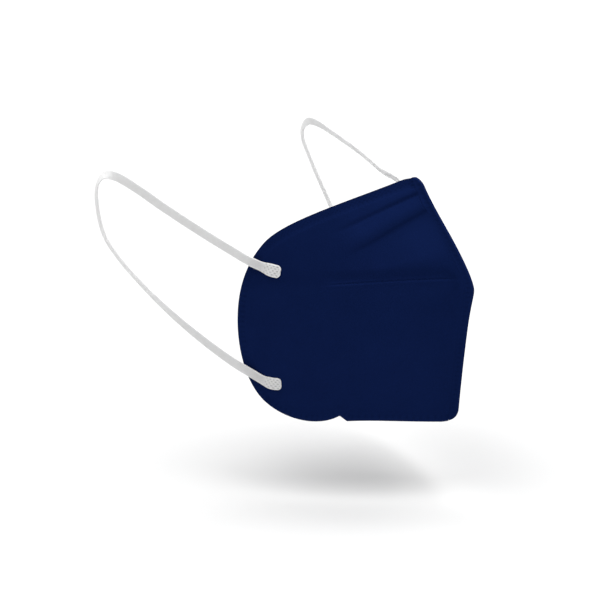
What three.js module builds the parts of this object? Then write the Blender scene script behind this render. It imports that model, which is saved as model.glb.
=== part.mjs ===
// Disposable respirator of the vertical-fold, ear-loop kind, shown open as it is worn.
//
// Two laminate half shells are welded together along a front seam that runs from the nose
// over a peak to the chin. A thin metal strip lies in a raised channel below the top edge,
// and a flat elastic ear loop is welded to the outside of each half.
//
// Millimetres. +Z is up and -Y is the front of the mask. Shapes are worked out in the mask's
// side view: "back" is the distance behind the seam's foremost point, the peak, "up" is the
// height above it, and "out" is the distance from the middle plane. The finished group is
// then moved so that its origin is where the nose bridge sits.

import * as THREE from 'three';

// ---- Driving dimensions -------------------------------------------------------------

// Where the nose bridge sits, between the top edges just behind the seam.
const SEAT_BACK = 40;
const SEAT_UP = 54;

// Front seam: its two leaning lines, and the flat welded fin along them.
const NOSE_TOP = 55.4;
const CHIN_LOW = -74.6;
const NOSE_LEAN = Math.tan(THREE.MathUtils.degToRad(30.5));
const CHIN_LEAN = Math.tan(THREE.MathUtils.degToRad(4.7));
const NOSE_BOW = 6.3;
const NOSE_BOW_SKEW = 13.3;
const CHIN_HOLLOW = 2.4;
const PEAK_JUT = 0.84;
const PEAK_JUT_REACH = 10.4;
const PEAK_ROUND = 1.0;
const NOSE_CORNER = 4;
const CHIN_CORNER = 8;
const FIN_WIDTH = 4.0;
const FIN_THICK = 1.2;

// Laminate, and the air left between neighbouring pieces.
const WALL = 1.4;
const RIM_WALL = 0.8;
const RIM_BAND = 5.5;
const GAP = 0.3;

// Opening of each half shell in plan: its angle to the middle plane falls evenly from the
// seam to the ear edge, so the shell is an arc there.
const FRONT_ANGLE = THREE.MathUtils.degToRad(46);
const EAR_ANGLE = THREE.MathUtils.degToRad(18);
const SHELL_ARC = 118;
const SHELL_RADIUS = SHELL_ARC / (FRONT_ANGLE - EAR_ANGLE);
const ROOT_BACK = FIN_WIDTH + GAP;
const ROOT_OUT = FIN_THICK / 2 + GAP / 2;

// The peak's kink softens behind the seam: how much rounder it gets between two depths.
const SOFTENING = [
  { from: 0, to: 20, rounder: 4.5 },
  { from: 50, to: 100, rounder: 12 },
];

// Outline of a half shell in side view: top edge, ear edge, lower lobe, notch, chin edge.
const TOP_EDGE = bezier([32.9, 59], [55.3, 45.6], [86.7, 35.1], [95.1, 21.8]);
const EAR_EDGE = bezier([93.6, -63.6], [110.1, -46.6], [110.9, -1.2], [95.1, 21.8]);
const CHIN_EDGE_END = { back: 53.4, up: -73.1 };
const LOBE_EDGE = bezier([56.7, -70.1], [67.5, -77.9], [84.5, -72.7], [93.6, -63.6]);

// The top edge drops to the nose corner near the seam, and the chin edge arches a little.
const TOP_EDGE_DROP = 1.0;
const TOP_EDGE_DROP_REACH = 5;
const CHIN_ARCH = 0.8;

// How far below the top edge and above the chin edge the rows of the shell's grid bend.
const GRID_BEND = 30;

// Raised channel of the nose strip: heights on the seam and their fall per millimetre
// towards the ear, for the foot of the top weld band and the two grooves of the channel.
// The channel is steep at its lower groove and gentle at its upper one.
const BAND_FOOT = { up: 50.8, fall: 0.377 };
const UPPER_GROOVE = { up: 47.6, fall: 0.447 };
const LOWER_GROOVE = { up: 39.2, fall: 0.521 };
const CHANNEL_FADE = [30, 46];
const CHANNEL_START = [-2.6, 1];
const CHANNEL_SLOPE = 0.95;
const CHANNEL_LEAN = 1.05;
const CHANNEL_LIFT = 0.5;
const LIFT_TALL = 4.5;
const LIFT_FADE = 3;
const PLEAT_RISE = 0.22;
const PLEAT_LEAST = 1.6;
const GROOVE_DEPTH = 0.22;
const GROOVE_WIDTH = 1.0;

// Pressed crease that runs back from the peak. Below it and for some way above it the panel
// is drawn in, so that it stands upright there. The pairs are the distances between which
// the recess starts, narrows and fades behind the seam, and thins out below the crease.
const CREASE_UP = 5.4;
const CREASE_FALL = 0.00084;
const RECESS_DEPTH = 4.0;
const RECESS_BELOW = 6.5;
const RECESS_ABOVE = 10.5;
const RECESS_NARROWING = 3;
const RECESS_START = [0, 7];
const RECESS_NARROWS = [10, 38];
const RECESS_FADE = [26, 60];
const RECESS_FOOT = [4, 68];

// The dip just above the crease, and where it starts and fades behind the seam.
const DIP_DEPTH = 0.55;
const DIP_BOTTOM = 1.6;
const DIP_TOP = 7;
const DIP_START = [1, 8];
const DIP_FADE = [50, 60];

// Nose strip: its place between the channel's lower and upper groove as a share, and the
// depths behind the seam at which its sections lie.
const STRIP_SHARE = 0.4;
const STRIP_WIDTH = 4.0;
const STRIP_THICK = 0.8;
const STRIP_PLAY = 0.4;
const STRIP_EASE = 9;
const STRIP_DEPTHS = [2, 4, 7, 11, 15, 19, 23, 27, 31, 35, 39, 42];

// Ear loops: flat elastic with flattened, wider ends.
const BAND_WIDTH = 5.0;
const BAND_THICK = 0.9;
const WELD_WIDTH = 6.8;
const WELD_THICK = 0.7;
const WELD_LENGTH = 5;
const WELD_EASE = 7;
const WELD_CORNER = 2.2;
const WELD_PLAY = 0.4;

// Plan angle that the band's flat side faces where it leaves the shell, away from square
// to the side, and the band's section as shares of its half width and half thickness.
const FLAT_HEADING = 20;
const BAND_SECTION = [
  { wide: -1, deep: -0.4 },
  { wide: -0.86, deep: -1 },
  { wide: 0.86, deep: -1 },
  { wide: 1, deep: -0.4 },
  { wide: 1, deep: 0.4 },
  { wide: 0.86, deep: 1 },
  { wide: -0.86, deep: 1 },
  { wide: -1, deep: 0.4 },
];

// Sections along a loop: how many to a row of its table, and where in the rounded tips.
const STATIONS_A_ROW = 3;
const TIP_STATIONS = [0.02, 0.1, 0.25, 0.5, 0.75];

// Rows of the half shell, from the chin up: height on the seam, where the channel ends, and
// on the ear edge.
const SHELL_ROWS = [
  { seam: CHIN_LOW, bend: -73, ear: LOBE_EDGE.v3.y },
  { seam: -72, bend: -69.6, ear: -61.8 },
  { seam: -69.4, bend: -66.6, ear: -59.2 },
  { seam: -62, bend: -58.5, ear: -53 },
  { seam: -53, bend: -50, ear: -46 },
  { seam: -43, bend: -41, ear: -38 },
  { seam: -33, bend: -31.5, ear: -30 },
  { seam: -23, bend: -22.5, ear: -22 },
  { seam: -14, bend: -14, ear: -15 },
  { seam: -7, bend: -7.6, ear: -10 },
  { seam: -2.5, bend: -3.4, ear: -6.5 },
  { seam: 1.5, bend: 0.2, ear: -3.6 },
  { seam: 5.4, bend: 3.5, ear: -1.4 },
  { seam: 7, bend: 5, ear: -0.4 },
  { seam: 9.4, bend: 6.6, ear: 0.8 },
  { seam: 12.4, bend: 8.2, ear: 2.2 },
  { seam: 17, bend: 9.4, ear: 3.6 },
  { seam: 23, bend: 10.4, ear: 5 },
  { seam: 29, bend: 11.4, ear: 6.2 },
  { seam: 34.7, bend: 12.4, ear: 7.2 },
  { seam: 37, bend: 13.2, ear: 8.2 },
  { seam: 39.2, bend: 14.2, ear: 9.2 },
  { seam: 40.6, bend: 16.2, ear: 10.2 },
  { seam: 42.8, bend: 19.4, ear: 11.8 },
  { seam: 45.4, bend: 23.2, ear: 13.4 },
  { seam: 47.6, bend: 26.1, ear: 14.8 },
  { seam: 49.2, bend: 29.2, ear: 16.2 },
  { seam: 50.8, bend: 32, ear: 17.8 },
  { seam: 53, bend: 35.4, ear: 19.8 },
  { seam: NOSE_TOP, bend: 38.8, ear: TOP_EDGE.v3.y },
];

// Columns of the half shell: distances behind the seam as far as the channel's end, then
// shares of the way from there to the ear edge.
const FRONT_COLUMNS = [0, 1.2, 3, 6, 10, 15, 20, 25, 30, 35, 39, 41.4, 43.6, 45.8, 48];
const BEND_DEPTH = FRONT_COLUMNS.at(-1);
const REAR_COLUMNS = [0.12, 0.26, 0.42, 0.58, 0.73, 0.86, 0.94, 1];

// Ear loops, from the upper weld round the ear to the lower one. A row with no "out" lies
// on the shell. "turn" twists the band from flat on the shell, 0, to square across, 90, and
// "heading" is the plan angle that it then crosses at.
const RIGHT_LOOP = {
  side: -1,
  heading: 33,
  rows: [
    { back: 84.2, up: 8.2, turn: 0 },
    { back: 88.4, up: 8.8, turn: 0 },
    { back: 93, up: 10.2, turn: 0 },
    { out: 60.5, back: 99.5, up: 13.4, turn: 0 },
    { out: 65, back: 109, up: 19.2, turn: 0 },
    { out: 71.5, back: 121.5, up: 27.5, turn: 0 },
    { out: 79.5, back: 141, up: 40, turn: 0 },
    { out: 86, back: 156, up: 50.5, turn: 0 },
    { out: 90, back: 165.5, up: 55.7, turn: 14 },
    { out: 92.5, back: 171, up: 56, turn: 48 },
    { out: 94, back: 174.5, up: 51.5, turn: 64 },
    { out: 94.3, back: 175.6, up: 41.5, turn: 54 },
    { out: 93, back: 172.6, up: 24, turn: 50 },
    { out: 90, back: 166, up: 12.2, turn: 47 },
    { out: 84.6, back: 153, up: -3.2, turn: 40 },
    { out: 78, back: 137, up: -18.9, turn: 22 },
    { out: 71.5, back: 121, up: -32.1, turn: 6 },
    { out: 65, back: 107, up: -42.8, turn: 0 },
    { out: 60.2, back: 98, up: -48.8, turn: 0 },
    { back: 92.5, up: -52.2, turn: 0 },
    { back: 88.5, up: -53.4, turn: 0 },
    { back: 84.2, up: -53.3, turn: 0 },
  ],
};
const LEFT_LOOP = {
  side: 1,
  heading: 0,
  rows: [
    { back: 84.2, up: 8.2, turn: 0 },
    { back: 88, up: 8.8, turn: 0 },
    { back: 91.4, up: 11.4, turn: 0 },
    { out: 59.6, back: 94.4, up: 17, turn: -3 },
    { out: 66, back: 93.4, up: 24.5, turn: -9 },
    { out: 73, back: 91.4, up: 31.5, turn: -16 },
    { out: 78.5, back: 92.5, up: 37.2, turn: -22 },
    { out: 80, back: 98.5, up: 40, turn: -27 },
    { out: 80.6, back: 106.5, up: 42.8, turn: -28 },
    { out: 82.4, back: 124.6, up: 52.9, turn: -28 },
    { out: 87.5, back: 149, up: 63, turn: -25 },
    { out: 91.3, back: 163, up: 67.6, turn: -14 },
    { out: 93.8, back: 172, up: 68.2, turn: 2 },
    { out: 95.2, back: 177.6, up: 63.6, turn: 18 },
    { out: 95.2, back: 177.8, up: 57, turn: 18 },
    { out: 94.6, back: 173.2, up: 48, turn: 16 },
    { out: 92.5, back: 165, up: 35.5, turn: 15 },
    { out: 87, back: 148.4, up: 14, turn: 12 },
    { out: 79.5, back: 131.6, up: -10, turn: 8 },
    { out: 71.5, back: 119, up: -29, turn: 4 },
    { out: 65, back: 107, up: -41.6, turn: 1 },
    { out: 60.2, back: 98, up: -48.8, turn: 0 },
    { back: 92.5, up: -52.2, turn: 0 },
    { back: 88.5, up: -53.4, turn: 0 },
    { back: 84.2, up: -53.3, turn: 0 },
  ],
};

// ---- Small helpers --------------------------------------------------------------------

function bezier(...points) {
  return new THREE.CubicBezierCurve(...points.map(([back, up]) => new THREE.Vector2(back, up)));
}

function ramp(from, to, value) {
  return THREE.MathUtils.smoothstep(value, from, to);
}

// ---- Surface of a half shell ------------------------------------------------------------

// How far the seam lies behind the peak at a height: two leaning lines, the upper one bowed
// forward and the lower one a little hollow. "round" softens the kink at the peak.
function seamBack(up, round = PEAK_ROUND) {
  const reach = Math.hypot(up, round);
  const above = (reach + up) / 2;
  const below = (reach - up) / 2;
  const share = Math.min(above / NOSE_TOP, 1);
  const lowShare = Math.min(below / -CHIN_LOW, 1);
  const bow = share * (1 - share) * (NOSE_BOW + NOSE_BOW_SKEW * (1 - 2 * share));
  const hollow = CHIN_HOLLOW * lowShare * (1 - lowShare);
  const jut = PEAK_JUT * Math.exp(-((reach / PEAK_JUT_REACH) ** 2));
  return NOSE_LEAN * above + CHIN_LEAN * below - bow + hollow - jut;
}

// How far a rounded corner cuts into one of its edges, at a distance from the other.
function cornerCut(radius, distance) {
  const left = Math.max(radius - distance, 0);
  return radius - Math.sqrt(radius ** 2 - left ** 2);
}

function behindSeam(back, up) {
  return back - ROOT_BACK - seamBack(up);
}

function overCrease(depth, up) {
  return up - (CREASE_UP - CREASE_FALL * depth * depth);
}

// How far the panel is drawn in behind the peak.
function peakRecess(depth, up) {
  const over = overCrease(depth, up);
  const above = RECESS_ABOVE - RECESS_NARROWING * ramp(...RECESS_NARROWS, depth);
  const tall = (1 - ramp(-RECESS_BELOW, above, over)) * (1 - ramp(...RECESS_FOOT, -over));
  return RECESS_DEPTH * tall * ramp(...RECESS_START, depth) * (1 - ramp(...RECESS_FADE, depth));
}

// Distance of the plain shell from the middle plane: an arc in plan behind the seam, with
// the seam's kink softening towards the ear.
function shellOut(back, up) {
  const depth = behindSeam(back, up);
  const round = SOFTENING.reduce(
    (sum, { from, to, rounder }) => sum + rounder * ramp(from, to, depth), PEAK_ROUND,
  );
  const run = back - ROOT_BACK - seamBack(up, round);
  const recess = peakRecess(depth, up);
  if (run <= 0) return ROOT_OUT + run * Math.tan(FRONT_ANGLE) - recess;
  const sine = Math.sin(FRONT_ANGLE) - run / SHELL_RADIUS;
  const bulge = SHELL_RADIUS * (Math.sqrt(1 - sine * sine) - Math.cos(FRONT_ANGLE));
  return ROOT_OUT + bulge - recess;
}

// Height of the raised channel, its upper groove and the pleat above it.
function channelRelief(depth, up) {
  const [foot, upper, lower] = [BAND_FOOT, UPPER_GROOVE, LOWER_GROOVE].map(
    (line) => line.up - line.fall * depth,
  );
  const share = THREE.MathUtils.clamp((up - lower) / (upper - lower), 0, 1);
  const arch = CHANNEL_SLOPE * (upper - lower) * share * (1 - share) * (CHANNEL_LEAN - share);
  const lift = CHANNEL_LIFT * THREE.MathUtils.clamp(1 - (lower - up) / LIFT_TALL, 0, 1) ** 2
    * (1 - ramp(upper, foot + LIFT_FADE, up));
  const pleatTall = Math.max(foot - upper, PLEAT_LEAST);
  const pleatShare = THREE.MathUtils.clamp((up - upper) / pleatTall, 0, 1);
  const pleat = PLEAT_RISE * Math.sin(Math.PI * pleatShare);
  const groove = GROOVE_DEPTH * Math.exp(-(((up - upper) / GROOVE_WIDTH) ** 2));
  const fade = ramp(...CHANNEL_START, depth) * (1 - ramp(...CHANNEL_FADE, depth));
  return fade * (arch + lift + pleat - groove);
}

// Height of the dip above the crease.
function creaseRelief(depth, up) {
  const over = overCrease(depth, up);
  const dip = ramp(0, DIP_BOTTOM, over) * (1 - ramp(DIP_BOTTOM, DIP_TOP, over));
  const fade = ramp(...DIP_START, depth) * (1 - ramp(...DIP_FADE, depth));
  return -DIP_DEPTH * dip * fade;
}

function relief(back, up) {
  const depth = behindSeam(back, up);
  return channelRelief(depth, up) + creaseRelief(depth, up);
}

// Outward normal of the plain shell, for the half on the given side.
function shellNormal(side, back, up) {
  const step = 0.05;
  const alongBack = (shellOut(back + step, up) - shellOut(back - step, up)) / (2 * step);
  const alongUp = (shellOut(back, up + step) - shellOut(back, up - step)) / (2 * step);
  return new THREE.Vector3(side, -alongBack, -alongUp).normalize();
}

// Point at a height over the plain shell's outer face, along its normal.
function shellPoint(side, back, up, height) {
  const base = new THREE.Vector3(side * shellOut(back, up), back, up);
  return base.addScaledVector(shellNormal(side, back, up), height);
}

// ---- Grid of a half shell in side view ----------------------------------------------------

// Share along a curve at which a measure that grows along it reaches a value.
function shareAt(curve, measure, value) {
  let low = 0;
  let high = 1;
  for (let pass = 0; pass < 30; pass += 1) {
    const middle = (low + high) / 2;
    if (measure(curve.getPoint(middle)) < value) low = middle;
    else high = middle;
  }
  return low;
}

// Height of the lower outline at a distance back: rounded chin corner, chin edge, notch, lobe.
function lowerEdge(back) {
  const notch = LOBE_EDGE.v0;
  if (back >= notch.x) {
    return LOBE_EDGE.getPoint(shareAt(LOBE_EDGE, (point) => point.x, back)).y;
  }
  if (back > CHIN_EDGE_END.back) {
    const share = (back - CHIN_EDGE_END.back) / (notch.x - CHIN_EDGE_END.back);
    return THREE.MathUtils.lerp(CHIN_EDGE_END.up, notch.y, share);
  }
  const front = seamBack(CHIN_LOW);
  const share = Math.max(back - front, 0) / (CHIN_EDGE_END.back - front);
  const plain = THREE.MathUtils.lerp(CHIN_LOW, CHIN_EDGE_END.up, share);
  const highest = 4 / 27;
  const arch = (CHIN_ARCH * share ** 2 * (1 - share)) / highest;
  return plain + arch + cornerCut(CHIN_CORNER, back - front);
}

function earPoint(up) {
  return EAR_EDGE.getPoint(shareAt(EAR_EDGE, (point) => point.y, up));
}

// One row of the side-view grid: straight to the channel's end, then straight to the ear.
function straightRow({ seam, bend, ear }) {
  const front = FRONT_COLUMNS.map((depth) => {
    const up = THREE.MathUtils.lerp(seam, bend, depth / BEND_DEPTH);
    return new THREE.Vector2(ROOT_BACK + seamBack(up) + depth, up);
  });
  const end = earPoint(ear);
  return [...front, ...REAR_COLUMNS.map((share) => front.at(-1).clone().lerp(end, share))];
}

// The same row drawn along the top edge, which drops a little near the seam.
function topRow() {
  const depthAt = (point) => behindSeam(point.x, point.y);
  const bendShare = shareAt(TOP_EDGE, depthAt, BEND_DEPTH);
  return [
    ...FRONT_COLUMNS.map((depth) => TOP_EDGE.getPoint(shareAt(TOP_EDGE, depthAt, depth))),
    ...REAR_COLUMNS.map((share) => TOP_EDGE.getPoint(THREE.MathUtils.lerp(bendShare, 1, share))),
  ].map((point) => {
    const near = THREE.MathUtils.clamp(1 - depthAt(point) / TOP_EDGE_DROP_REACH, 0, 1);
    const drop = TOP_EDGE_DROP * near ** 2;
    return new THREE.Vector2(point.x - drop * NOSE_LEAN, point.y - drop);
  });
}

// Side-view grid: the rows, bent to the outline near the top edge and near the chin.
function sideViewGrid() {
  const plainTop = straightRow(SHELL_ROWS.at(-1));
  const top = topRow();
  const plainChin = straightRow(SHELL_ROWS[0]);
  return SHELL_ROWS.map((row) => {
    const nearTop = Math.max(0, 1 - (NOSE_TOP - row.seam) / GRID_BEND) ** 2;
    const nearChin = Math.max(0, 1 - (row.seam - CHIN_LOW) / GRID_BEND) ** 2;
    return straightRow(row).map((point, column) => {
      const edge = top[column].clone().sub(plainTop[column]);
      const chin = plainChin[column];
      point.addScaledVector(edge, nearTop);
      point.y += nearChin * (lowerEdge(chin.x) - chin.y);
      return point;
    });
  });
}

// Closed mesh from an outer and an inner grid of points with the same rows and columns.
function shellGeometry(outer, inner, flip) {
  const rows = outer.length;
  const columns = outer[0].length;
  const positions = [...outer.flat(), ...inner.flat()].flatMap((point) => point.toArray());
  const inside = rows * columns;
  const faces = [];
  const quad = (a, b, c, d) => faces.push([a, b, c], [a, c, d]);
  const at = (row, column) => row * columns + column;
  for (let row = 0; row + 1 < rows; row += 1) {
    for (let column = 0; column + 1 < columns; column += 1) {
      const corners = [at(row, column), at(row, column + 1), at(row + 1, column + 1), at(row + 1, column)];
      quad(...corners);
      quad(...corners.map((corner) => corner + inside).reverse());
    }
  }
  const rim = [];
  for (let column = 0; column + 1 < columns; column += 1) rim.push(at(0, column));
  for (let row = 0; row + 1 < rows; row += 1) rim.push(at(row, columns - 1));
  for (let column = columns - 1; column > 0; column -= 1) rim.push(at(rows - 1, column));
  for (let row = rows - 1; row > 0; row -= 1) rim.push(at(row, 0));
  rim.forEach((corner, place) => {
    const next = rim[(place + 1) % rim.length];
    quad(next, corner, corner + inside, next + inside);
  });
  const geometry = new THREE.BufferGeometry();
  geometry.setAttribute('position', new THREE.Float32BufferAttribute(positions, 3));
  geometry.setIndex(faces.flatMap(([a, b, c]) => (flip ? [a, c, b] : [a, b, c])));
  geometry.computeVertexNormals();
  return geometry;
}

// ---- The pieces -----------------------------------------------------------------------------

// Half shell: laminate that thins to a pressed band along its free edges and at the seam.
function halfShell(side) {
  const grid = sideViewGrid();
  const outline = [...grid[0], ...grid.map((row) => row.at(-1)), ...grid.at(-1)];
  const outer = [];
  const inner = [];
  for (const row of grid) {
    const outerRow = [];
    const innerRow = [];
    row.forEach((point, column) => {
      const toEdge = Math.min(...outline.map((edge) => edge.distanceTo(point)));
      const full = ramp(RIM_BAND / 2, RIM_BAND, toEdge);
      const pressed = ((WALL - RIM_WALL) / 2) * (1 - full);
      const height = relief(point.x, point.y) - pressed;
      const normal = shellNormal(side, point.x, point.y);
      const atSeam = (ROOT_OUT - GAP / 2) / Math.abs(normal.x);
      const wall = column === 0 ? atSeam : THREE.MathUtils.lerp(RIM_WALL, WALL, full);
      outerRow.push(shellPoint(side, point.x, point.y, column === 0 ? 0 : height));
      innerRow.push(shellPoint(side, point.x, point.y, column === 0 ? -atSeam : height - wall));
    });
    outer.push(outerRow);
    inner.push(innerRow);
  }
  return shellGeometry(outer, inner, side < 0);
}

// Front seam: the two laminates pressed flat together, with rounded nose and chin corners.
function seamFin() {
  const low = CHIN_LOW + cornerCut(CHIN_CORNER, FIN_WIDTH);
  const heights = [
    ...[0, 0.4, 1.1, 2.2, 3.6, 5.2].map((step) => low + step), CHIN_LOW + CHIN_CORNER,
    -55, -42, -30, -20, -12, -7, -3, -1.5, -0.7, 0, 0.7, 1.5, 3, 6, 10, 15, 21, 28, 36, 44,
    ...[4, 2.8, 1.8, 1, 0.5, 0.15, 0].map((step) => NOSE_TOP - step),
  ];
  const front = heights.map((up) => new THREE.Vector2(
    seamBack(up) + cornerCut(CHIN_CORNER, up - CHIN_LOW) + cornerCut(NOSE_CORNER, NOSE_TOP - up),
    up,
  ));
  const rear = heights.slice(1, -1).map((up) => new THREE.Vector2(seamBack(up) + FIN_WIDTH, up));
  const outline = new THREE.Shape([...front, ...rear.reverse()]);
  const geometry = new THREE.ExtrudeGeometry(outline, { depth: FIN_THICK, bevelEnabled: false });
  geometry.translate(0, 0, -FIN_THICK / 2);
  const backward = new THREE.Vector3(0, 1, 0);
  const upward = new THREE.Vector3(0, 0, 1);
  const sideways = new THREE.Vector3(1, 0, 0);
  return geometry.applyMatrix4(new THREE.Matrix4().makeBasis(backward, upward, sideways));
}

// Closed mesh swept from sections that all have the same number of corners.
function sweptGeometry(sections) {
  const size = sections[0].length;
  const positions = sections.flat().flatMap((point) => point.toArray());
  const index = [];
  for (let station = 0; station + 1 < sections.length; station += 1) {
    for (let corner = 0; corner < size; corner += 1) {
      const next = (corner + 1) % size;
      const [a, b] = [station * size + corner, station * size + next];
      index.push(a, b, b + size, a, b + size, a + size);
    }
  }
  const end = (sections.length - 1) * size;
  for (let corner = 1; corner + 1 < size; corner += 1) {
    index.push(0, corner + 1, corner, end, end + corner, end + corner + 1);
  }
  const geometry = new THREE.BufferGeometry();
  geometry.setAttribute('position', new THREE.Float32BufferAttribute(positions, 3));
  geometry.setIndex(index);
  geometry.computeVertexNormals();
  return geometry;
}

// Nose strip: thin malleable metal in the hollow behind the raised channel, bent in a V.
function noseStrip() {
  const halfUp = STRIP_WIDTH / 2 / Math.hypot(1, NOSE_LEAN);
  const startUp = THREE.MathUtils.lerp(LOWER_GROOVE.up, UPPER_GROOVE.up, STRIP_SHARE);
  const fall = THREE.MathUtils.lerp(LOWER_GROOVE.fall, UPPER_GROOVE.fall, STRIP_SHARE);
  const section = (side, depth) => {
    const middleUp = startUp - fall * depth;
    const backAt = (up) => ROOT_BACK + seamBack(up) + depth;
    const lowest = Math.min(...[-halfUp, 0, halfUp].map(
      (offset) => relief(backAt(middleUp + offset), middleUp + offset),
    ));
    const outer = lowest * ramp(0, STRIP_EASE, depth) - WALL - STRIP_PLAY;
    const inner = outer - STRIP_THICK;
    const corner = (offset, height) => {
      const up = middleUp + offset;
      return shellPoint(side, backAt(up), up, height);
    };
    return [
      corner(-halfUp, inner), corner(-halfUp, outer),
      corner(halfUp, outer), corner(halfUp, inner),
    ];
  };
  const [first, second] = [section(1, STRIP_DEPTHS[0]), section(1, STRIP_DEPTHS[1])];
  const bend = first.map((point, corner) => {
    const share = point.x / (second[corner].x - point.x);
    return point.clone().lerp(second[corner], -share).setX(0);
  });
  return sweptGeometry([
    ...[...STRIP_DEPTHS].reverse().map((depth) => section(1, depth)),
    bend,
    ...STRIP_DEPTHS.map((depth) => section(-1, depth)),
  ]);
}

// Ear loop: a flat band with rounded edges, swept along its route, its ends pressed wider.
function earLoop({ side, heading, rows }) {
  const seatHeight = WELD_PLAY + WELD_THICK / 2;
  const stops = rows.map(({ out, back, up, turn }) => {
    const yaw = THREE.MathUtils.degToRad(
      THREE.MathUtils.lerp(FLAT_HEADING, heading, turn / 90),
    );
    const onShell = out === undefined;
    return {
      place: onShell ? shellPoint(side, back, up, seatHeight) : new THREE.Vector3(side * out, back, up),
      face: onShell
        ? shellNormal(side, back, up)
        : new THREE.Vector3(side * Math.cos(yaw), -Math.sin(yaw), 0),
      turn: THREE.MathUtils.degToRad(turn),
    };
  });
  const route = new THREE.CatmullRomCurve3(stops.map((stop) => stop.place), false, 'centripetal');
  const last = stops.length - 1;
  const stations = [...TIP_STATIONS];
  for (let step = STATIONS_A_ROW; step <= (last - 1) * STATIONS_A_ROW; step += 1) {
    stations.push(step / STATIONS_A_ROW);
  }
  stations.push(...[...TIP_STATIONS].reverse().map((left) => last - left));
  const sections = stations.map((station) => {
    const from = Math.min(Math.floor(station), last - 1);
    const [before, after] = [stops[from], stops[from + 1]];
    const centre = route.getPoint(station / last);
    const tangent = route.getTangent(station / last);
    const face = before.face.clone().lerp(after.face, station - from);
    face.addScaledVector(tangent, -face.dot(tangent)).normalize();
    const across = new THREE.Vector3().crossVectors(face, tangent);
    const turn = THREE.MathUtils.lerp(before.turn, after.turn, station - from);
    face.applyAxisAngle(tangent, turn);
    across.applyAxisAngle(tangent, turn);
    const toTip = Math.min(...[stops[0], stops[last]].map((stop) => stop.place.distanceTo(centre)));
    const pressed = 1 - ramp(WELD_LENGTH, WELD_LENGTH + WELD_EASE, toTip);
    const inTip = Math.max(0, 1 - toTip / WELD_CORNER);
    const rounding = 2 * WELD_CORNER * (1 - Math.sqrt(1 - inTip ** 2));
    const width = THREE.MathUtils.lerp(BAND_WIDTH, WELD_WIDTH, pressed) - rounding;
    const thick = THREE.MathUtils.lerp(BAND_THICK, WELD_THICK, pressed);
    return BAND_SECTION.map(({ wide, deep }) => centre.clone()
      .addScaledVector(across, (wide * width) / 2)
      .addScaledVector(face, (deep * thick) / 2));
  });
  return sweptGeometry(sections);
}

// ---- Materials and assembly ----------------------------------------------------------------

const navy = new THREE.MeshStandardMaterial({ color: 0x0c1a3e, roughness: 0.85, metalness: 0 });
const white = new THREE.MeshStandardMaterial({ color: 0xe4e4e4, roughness: 0.8, metalness: 0 });
const metal = new THREE.MeshStandardMaterial({ color: 0xb8bcc2, roughness: 0.4, metalness: 0.9 });

const group = new THREE.Group();
group.position.set(0, -SEAT_BACK, -SEAT_UP);

function addPiece(name, geometry, material) {
  const piece = new THREE.Mesh(geometry, material);
  piece.name = name;
  group.add(piece);
}

addPiece('shell_right', halfShell(-1), navy);
addPiece('shell_left', halfShell(1), navy);
addPiece('front_seam', seamFin(), navy);
addPiece('nose_strip', noseStrip(), metal);
addPiece('ear_loop_right', earLoop(RIGHT_LOOP), white);
addPiece('ear_loop_left', earLoop(LEFT_LOOP), white);

export default group;
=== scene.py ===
# Disposable respirator of the vertical-fold kind: two navy half shells welded along a front
# seam, a metal nose strip in a channel under the top edge, and two flat elastic ear loops.

import math

import bpy
import numpy as np
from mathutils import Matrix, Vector


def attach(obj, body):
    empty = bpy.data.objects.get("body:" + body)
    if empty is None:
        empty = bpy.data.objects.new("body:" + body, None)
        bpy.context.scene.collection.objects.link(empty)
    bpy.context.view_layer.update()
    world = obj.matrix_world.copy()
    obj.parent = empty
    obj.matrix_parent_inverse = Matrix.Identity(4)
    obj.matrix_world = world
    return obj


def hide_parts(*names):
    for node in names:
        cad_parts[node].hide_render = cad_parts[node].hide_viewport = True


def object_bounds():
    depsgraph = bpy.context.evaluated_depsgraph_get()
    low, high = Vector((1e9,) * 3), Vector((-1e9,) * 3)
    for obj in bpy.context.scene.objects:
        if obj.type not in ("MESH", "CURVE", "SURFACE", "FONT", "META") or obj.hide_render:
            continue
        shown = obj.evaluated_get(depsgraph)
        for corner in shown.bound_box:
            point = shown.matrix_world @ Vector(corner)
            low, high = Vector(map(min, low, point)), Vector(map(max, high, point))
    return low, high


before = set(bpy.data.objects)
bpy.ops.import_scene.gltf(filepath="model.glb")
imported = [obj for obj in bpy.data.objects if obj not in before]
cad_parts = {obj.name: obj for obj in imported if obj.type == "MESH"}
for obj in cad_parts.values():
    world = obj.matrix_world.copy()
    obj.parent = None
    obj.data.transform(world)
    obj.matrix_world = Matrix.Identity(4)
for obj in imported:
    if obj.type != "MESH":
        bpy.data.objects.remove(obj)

bpy.ops.object.select_all(action="DESELECT")
cad_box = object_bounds()

# ---- Camera, floor and light ----------------------------------------------------------------
# The mask is seen from its front right and a little from above. It floats over a pale floor,
# and a soft lamp overhead lays its shadow there.

MM = 0.001

cad_low, cad_high = (np.array(corner) for corner in cad_box)
cad_middle = (cad_low + cad_high) / 2

VIEW_AZIMUTH = math.radians(-54)
VIEW_RISE = math.radians(15)
VIEW_DISTANCE = 600 * MM
VIEW_AIM = np.array((-46.4, -12.45, -5.8)) * MM
SENSOR_WIDTH = 36
LENS = 68.4
CLIP_START = 10 * MM

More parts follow.
